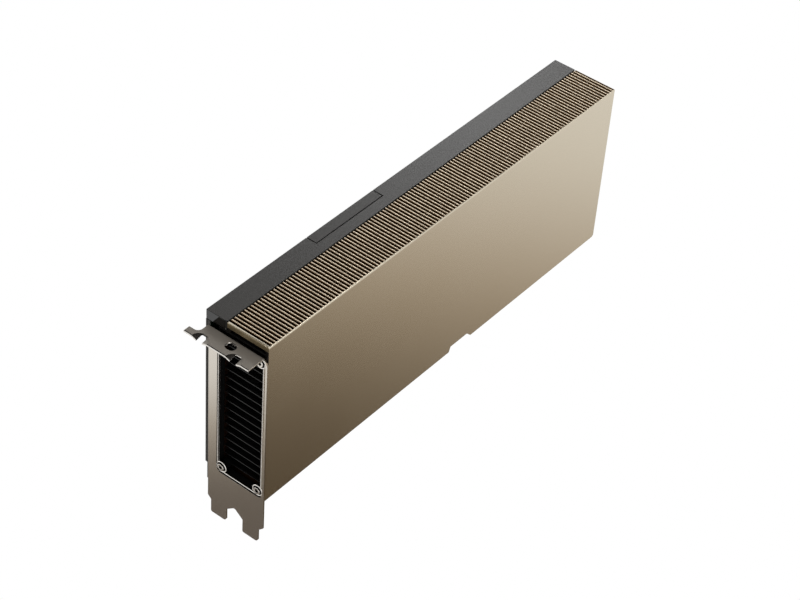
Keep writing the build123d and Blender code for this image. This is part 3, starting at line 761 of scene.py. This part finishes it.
def ventOutline():
    # a ring round each screw, and straight lengths along the opening that end on the rings
    corners = [
        ("screwNear", "screwLow", "near", "low"),
        ("screwNear", "screwHigh", "near", "high"),
        ("screwFar", "screwHigh", "far", "high"),
        ("screwFar", "screwLow", "far", "low"),
    ]
    radius, steps = vent["lobe"], vent["lobeSteps"]
    points, edges, ends = [], [], []

    def place(middleY, middleZ, offsetY, offsetZ):
        y = card["faceY"] + middleY + offsetY
        z = card["topZ"] - middleZ + offsetZ
        return (card["frontX"] + vent["plane"], y, z)

    for order, names in enumerate(corners):
        middleY, middleZ, sideY, sideZ = (vent[name] for name in names)
        reachY, reachZ = abs(sideY - middleY), abs(sideZ - middleZ)
        signY = 1 if middleY > sideY else -1
        signZ = 1 if middleZ < sideZ else -1
        onSide = (-reachY, math.sqrt(radius * radius - reachY * reachY))
        onEnd = (math.sqrt(radius * radius - reachZ * reachZ), -reachZ)
        first, last = (onEnd, onSide) if order % 2 == 0 else (onSide, onEnd)
        base = len(points)
        edges += [(base + step, base + (step + 1) % steps) for step in range(steps)]
        points += [
            place(middleY, middleZ, radius * math.cos(turn), radius * math.sin(turn))
            for turn in (2 * math.pi * step / steps for step in range(steps))
        ]
        ends.append([place(middleY, middleZ, y * signY, z * signZ) for y, z in (first, last)])
    # the straight lengths are lines of their own, so that the tube keeps its width
    for order in range(4):
        edges.append((len(points), len(points) + 1))
        points += [ends[order][1], ends[(order + 1) % 4][0]]
    return points, edges


def makeVentLip():
    points, edges = ventOutline()
    path = meshOf(points, edges)
    tree = Repeat("ventLip", {"Lip radius": vent["lip"] * mm})
    line = tree.add("GeometryNodeMeshToCurve", None, {"Mesh": tree.geometry()})
    profile = tree.add(
        "GeometryNodeCurvePrimitiveCircle",
        {"mode": "RADIUS"},
        {"Resolution": 12, "Radius": tree.size("Lip radius")},
    )
    lip = tree.add(
        "GeometryNodeCurveToMesh", None, {"Curve": line, "Profile Curve": profile, "Fill Caps": True}
    )
    # the lip is a brighter copy of the nickel, a painted highlight
    mesh = tree.run(path, lip, metalMaterials["lip"])
    smoothWithSharpEdges(mesh, 60)
    addPiece("ventLip", mesh, metalMaterials["lip"])


# Finishes on the bracket's faces: painted highlights and painted shade

recess = {
    "near": 0.7,         # from the card's face
    "far": 29.7,
    "low": 96.2,         # from the top of the card
    "high": 8.1,
}

tab = {
    "topZ": 104.69,
    "sheet": 0.86,
    "dimple": 0.85,
    "neck": 0.9,         # stretch next to the bend that keeps the bracket's own finish, free of painted shade
    "notchEnd": (3.2, 5.0),  # where a notch ends, from the tab's front edge
    "notchSide": -12.0,  # the near notch's walls lie below this Y
    "holeStart": 4.5,    # and the oval hole's near walls behind this depth
    "holeSide": -6.0,
}


def inRecess(place, normal):
    return (
        normal.x < 0.5
        and place.x > card["frontX"] + 0.03
        and card["faceY"] + recess["near"] < place.y < card["faceY"] + recess["far"]
        and card["topZ"] - recess["low"] < place.z < card["topZ"] - recess["high"]
    )


def onTab(place):
    lowest = tab["topZ"] - tab["sheet"] - tab["dimple"] - 0.3
    return place.x < card["frontX"] - 0.05 and place.z > lowest


def upright(normal):
    return abs(normal.z) < 0.3


def sloping(normal):
    return 0.3 < normal.z < 0.995


def tabShade(place, normal):
    # painted shade on the cut walls, and on the far half of each dimple
    dark = upright(normal) or (sloping(normal) and normal.y < -0.05)
    return onTab(place) and dark and place.x < card["frontX"] - tab["neck"]


def tabFrontHighlight(place, normal):
    return onTab(place) and upright(normal) and normal.x < -0.95 and place.x < borders["tabFront"] + 0.1


def highlightedCut(place, normal):
    # walls with a painted highlight above the cut line and painted shade below it: the near notch's end and
    # one side of the oval hole
    start, end = tab["notchEnd"]
    depth = place.x - borders["tabFront"]
    notch = normal.x < -0.4 and place.y < tab["notchSide"] and start < depth < end
    hole = normal.y < -0.45 and place.y < tab["holeSide"] and depth > tab["holeStart"]
    return onTab(place) and upright(normal) and (notch or hole)


# painted shade in the recess
paintFaces(slotBracket, recessShadeMaterial, inRecess)
# painted shade on the tab's top
paintFaces(slotBracket, tabShadeMaterial, lambda place, normal: onTab(place) and normal.z > 0.995)
# painted shade on the dimples' slopes
paintFaces(slotBracket, metalMaterials["dimple"], lambda place, normal: onTab(place) and sloping(normal))
# painted shade on the tab's cut walls and dimples
paintFaces(slotBracket, metalMaterials["shade"], tabShade)
# painted highlight on the tab's front edge and on every rounded edge of the bracket
slotBracket.modifiers["edges"].material = paintFaces(slotBracket, metalMaterials["lip"], tabFrontHighlight)
paintFaces(slotBracket, cutHighlightShadeMaterial, highlightedCut)
print("bracket's faces finished")

# Screws that hold the bracket

frameScrew = {
    "head": 1.95,
    "height": 1.25,
    "crown": 0.16,
    "socket": 1.05,
    "lobes": 0.14,
    "socketDepth": 0.8,
    "steps": 48,
    "seat": 0.9,         # bracket's outer face to the underside of the head
    "sharpAngle": 12,
}


def makeScrewTemplate(sizes):
    # a pan head with a six-lobed socket, pointing along +Z
    count = sizes["steps"]
    head, crown, height = sizes["head"], sizes["crown"], sizes["height"]
    rings = [
        (head * 0.96, 0.0, 0.0),
        (head, height * 0.1, 0.0),
        (head, height - crown, 0.0),
        (head - crown * 0.3, height - crown * 0.3, 0.0),
        (head - crown, height, 0.0),
        (sizes["socket"] + 0.08, height, sizes["lobes"]),
        (sizes["socket"], height - crown * 0.6, sizes["lobes"]),
        (sizes["socket"] - 0.1, height - sizes["socketDepth"], sizes["lobes"]),
    ]
    points = []
    for radius, level, lobes in rings:
        for step in range(count):
            angle = 2 * math.pi * step / count
            reach = radius + lobes * math.cos(6 * angle)
            points.append((reach * math.cos(angle), reach * math.sin(angle), level))
    faces = []
    for ring in range(len(rings) - 1):
        base = ring * count
        for step in range(count):
            after = (step + 1) % count
            faces.append((base + step, base + after, base + count + after, base + count + step))
    faces.append(tuple(range((len(rings) - 1) * count, len(rings) * count)))
    faces.append(tuple(reversed(range(count))))
    template = bpy.data.objects.new("screwTemplate", meshOf(points, [], faces))
    bpy.context.scene.collection.objects.link(template)
    return template


def screwMesh(name, sizes, spots, facing, material):
    # one head at each spot
    template = makeScrewTemplate(sizes)
    tree = Repeat(name, {"Facing": facing})
    head = tree.add("GeometryNodeObjectInfo", None, {"Object": template}, output="Geometry")
    heads = tree.add(
        "GeometryNodeInstanceOnPoints",
        None,
        {"Points": tree.geometry(), "Instance": head, "Rotation": tree.size("Facing")},
    )
    mesh = tree.run(meshOf(spots), heads, material)
    bpy.data.objects.remove(template)
    smoothWithSharpEdges(mesh, sizes["sharpAngle"])
    return mesh


def makeFrameScrews():
    nickel = metalMaterials["nickel"]
    seatX = card["frontX"] + frameScrew["seat"]
    spots = [
        (seatX, card["faceY"] + y, card["topZ"] - z)
        for y in (vent["screwNear"], vent["screwFar"])
        for z in (vent["screwLow"], vent["screwHigh"])
    ]
    mesh = screwMesh("frameScrews", frameScrew, spots, (0.0, -math.pi / 2, 0.0), nickel)
    screws = addPiece("frameScrewHeads", mesh, nickel, ["bracket_screws"])
    topX = seatX - frameScrew["height"]

    # painted highlight on the crown's edge
    def crownHighlight(place, normal):
        return normal.x < -0.3 and topX + 0.01 < place.x < topX + frameScrew["crown"]

    def socketShade(place, normal):
        # painted shade in the socket; the head's side gets it too
        return abs(normal.x) < 0.3 or (normal.x < -0.9 and place.x > topX + 0.3)

    paintFaces(screws, metalMaterials["lip"], crownHighlight)
    paintFaces(screws, metalMaterials["shade"], socketShade)


# Small screws that hold the backplate

backScrew = {
    "head": 1.9,
    "height": 0.35,
    "crown": 0.12,
    "socket": 0.85,
    "lobes": 0.11,
    "socketDepth": 0.3,
    "steps": 48,
    "sharpAngle": 25,
    "frontInset": 8.0,
    "rearInset": 5.2,
    "columns": 5,
    "rows": (19.5, 100.0),
    "sunk": 0.03,
}


def makeBackScrews():
    # two rows along the backplate, clear of the processor's own screws
    black = coatMaterials["screwBlack"]
    first = card["frontX"] + backScrew["frontInset"]
    last = card["rearX"] - backScrew["rearInset"]
    gaps = backScrew["columns"] - 1
    columns = [first + (last - first) * step / gaps for step in range(backScrew["columns"])]
    spots = [(x, card["backY"] - backScrew["sunk"], z) for x in columns for z in backScrew["rows"]]
    mesh = screwMesh("backScrews", backScrew, spots, (-math.pi / 2, 0.0, 0.0), black)
    addPiece("backplateScrewHeads", mesh, black)


makeVentLip()
makeFrameScrews()
makeBackScrews()
print("vent lip and screws made")

# CAD nodes that keep their own shape

nodeFinishes = {
    "edge_contacts": metalMaterials["gold"],
    "insulation_film": plasticMaterials["film"],
    "heatsink_base": metalMaterials["copper"],
    "heatsink_fins": metalMaterials["fin"],
    "fin_cover": metalMaterials["fin"],
    "package_substrate": laminateMaterial,
    "processor_die": metalMaterials["silicon"],
    "memory_stacks": metalMaterials["silicon"],
    "thermal_interface": plasticMaterials["pad"],
    "power_inductors": plasticMaterials["ferrite"],
    "power_stages": plasticMaterials["chip"],
    "thermal_pads": plasticMaterials["pad"],
    "capacitors": metalMaterials["tin"],
    "power_pins": metalMaterials["gold"],
    "standoffs": metalMaterials["brass"],
    "package_screws": coatMaterials["screwBlack"],
}
for node, material in nodeFinishes.items():
    if not nodes[node].material_slots:
        nodes[node].data.materials.append(material)
    for slot in nodes[node].material_slots:
        slot.material = material
print("CAD nodes finished:", len(nodeFinishes))

# Studio

studio = {
    "floorZ": -1000.0,
    "floorSize": 30000.0,
    "worldLevel": 0.4,
}

# two light cards that only reflections see, each dark in the middle and white at its edges, so that
# the metal shows a soft gradient and not an even white room; "strip" is a pale line along the middle
lowCard = {
    "height": -995.0,
    "turn": -36.0,
    "half": 1800.0,
    "fades": ((975.0, 1700.0), (-985.0, -1205.0)),
    "dark": tint(0.097, 0.072, 0.046),
    "farDark": tint(0.165, 0.143, 0.125),
    "middle": tint(0.525, 0.440, 0.345),
    "farMiddle": tint(0.50, 0.450, 0.390),
    "strip": (260.0, 500.0),
}
highCard = {
    "height": 2000.0,
    "turn": 36.0,
    "half": 2600.0,
    "fades": ((1950.0, 2450.0), (-1950.0, -2450.0)),
    "dark": tint(0.19, 0.18, 0.165),
    "farDark": tint(0.19, 0.18, 0.165),
    "middle": tint(0.58, 0.575, 0.565),
    "farMiddle": tint(0.58, 0.575, 0.565),
}

lamps = {
    "softBox": {"from": (2204.0, 1411.0, 1980.0), "aim": (130.0, -5.0, 110.0), "size": 420.0, "power": 2.8},
    "topLamp": {"from": (300.0, -250.0, 1900.0), "aim": (60.0, -15.0, 80.0), "size": 900.0, "power": 10.0},
}

# solved on the photograph, in millimetres and degrees
photoView = {
    "position": (-612.30, -510.76, 784.07),
    "azimuth": -53.896,
    "elevation": 41.213,
    "roll": 4.528,
    "focalPixels": 2253.0,
    "imageWidth": 800,
}


def setCamera(view):
    turn, rise, roll = (math.radians(view[key]) for key in ("azimuth", "elevation", "roll"))
    back = Vector((math.sin(turn) * math.cos(rise), -math.cos(turn) * math.cos(rise), math.sin(rise)))
    right = Vector((math.cos(turn), math.sin(turn), 0))
    up = back.cross(right)
    rolledRight = right * math.cos(roll) + up * math.sin(roll)
    rolledUp = up * math.cos(roll) - right * math.sin(roll)
    lens = bpy.data.cameras.new("photoCamera")
    lens.sensor_width = 36.0
    lens.lens = view["focalPixels"] * lens.sensor_width / view["imageWidth"]
    lens.clip_start = 0.05
    lens.clip_end = 50.0
    camera = bpy.data.objects.new("photoCamera", lens)
    bpy.context.scene.collection.objects.link(camera)
    placed = Matrix((rolledRight, rolledUp, back)).transposed().to_4x4()
    placed.translation = Vector(view["position"]) * mm
    camera.matrix_world = placed
    bpy.context.scene.camera = camera


def whiteToCamera(finish, shader, white):
    # the background shows white, also in metal, and the light on the card stays as it is
    rays = ("Is Camera Ray", "Is Glossy Ray", "Is Transmission Ray")
    camera, glossy, transmission = (finish.add("ShaderNodeLightPath", output=name) for name in rays)
    return finish.add("ShaderNodeMixShader", None, {0: camera + glossy + transmission, 1: shader, 2: white})


def addStageSheet(name, half, height, material):
    corners = [(-half, -half, height), (half, -half, height), (half, half, height), (-half, half, height)]
    mesh = meshOf(corners, [], [(0, 1, 2, 3)])
    mesh.materials.append(material)
    sheet = bpy.data.objects.new(name, mesh)
    bpy.context.scene.collection.objects.link(sheet)
    return sheet


def makeFloor():
    finish = Finish("paleFloor")
    plain = finish.add("ShaderNodeBsdfDiffuse", None, {"Color": tint(0.85, 0.85, 0.85)})
    white = finish.add("ShaderNodeEmission", None, {"Color": tint(1, 1, 1), "Strength": 1.0})
    finish.add("ShaderNodeOutputMaterial", None, {"Surface": whiteToCamera(finish, plain, white)})
    addStageSheet("floor", studio["floorSize"] / 2, studio["floorZ"], finish.owner)


def makeWorld():
    world = bpy.data.worlds.new("studioWorld")
    bpy.context.scene.world = world
    finish = Finish("studioWorld", world)
    level = studio["worldLevel"]
    soft = finish.add("ShaderNodeBackground", None, {"Color": tint(level, level, level)})
    white = finish.add("ShaderNodeBackground", None, {"Color": tint(1, 1, 1)})
    finish.add("ShaderNodeOutputWorld", None, {"Surface": whiteToCamera(finish, soft, white)})


def makeCard(name, sizes):
    # "fades" are distances along the light card's own direction, from dark to white
    finish = Finish(name)
    turn = math.radians(sizes["turn"])
    along = finish.axis("X") * math.cos(turn) + finish.axis("Y") * math.sin(turn)

    def ramp(distance, start, end):
        return finish.add(
            "ShaderNodeMapRange",
            {"interpolation_type": "SMOOTHSTEP"},
            {"Value": distance, "From Min": start * mm, "From Max": end * mm},
        )

    fade = sum(ramp(along, start, end) for start, end in sizes["fades"])
    if "strip" in sizes:
        inner, outer = sizes["strip"]
        fade = fade + ramp(finish.add("ShaderNodeMath", {"operation": "ABSOLUTE"}, {0: along}), outer, inner)
    fade = fade * 2.0
    side = along > 0.0
    dark = finish.blend(side, sizes["farDark"], sizes["dark"])
    colour = finish.blend(fade, dark, finish.blend(side, sizes["farMiddle"], sizes["middle"]))
    colour = finish.blend(fade - 1.0, colour, tint(1, 1, 1))
    glow = finish.add("ShaderNodeEmission", None, {"Color": colour, "Strength": 1.0})
    finish.add("ShaderNodeOutputMaterial", None, {"Surface": glow})
    sheet = addStageSheet(name, sizes["half"], sizes["height"], finish.owner)
    sheet.visible_camera = False
    sheet.visible_diffuse = False
    sheet.visible_transmission = False
    sheet.visible_shadow = False


def makeLamp(name, sizes):
    light = bpy.data.lights.new(name, "AREA")
    light.shape = "DISK"
    light.size = sizes["size"] * mm
    light.energy = sizes["power"]
    lamp = bpy.data.objects.new(name, light)
    start = Vector(sizes["from"]) * mm
    lamp.location = start
    lamp.rotation_mode = "QUATERNION"
    lamp.rotation_quaternion = (Vector(sizes["aim"]) * mm - start).to_track_quat("-Z", "Y")
    bpy.context.scene.collection.objects.link(lamp)


setCamera(photoView)
makeFloor()
makeWorld()
makeCard("lowCard", lowCard)
makeCard("highCard", highCard)
for name, sizes in lamps.items():
    makeLamp(name, sizes)
print("studio made")

bpy.context.scene.view_settings.view_transform = "Standard"
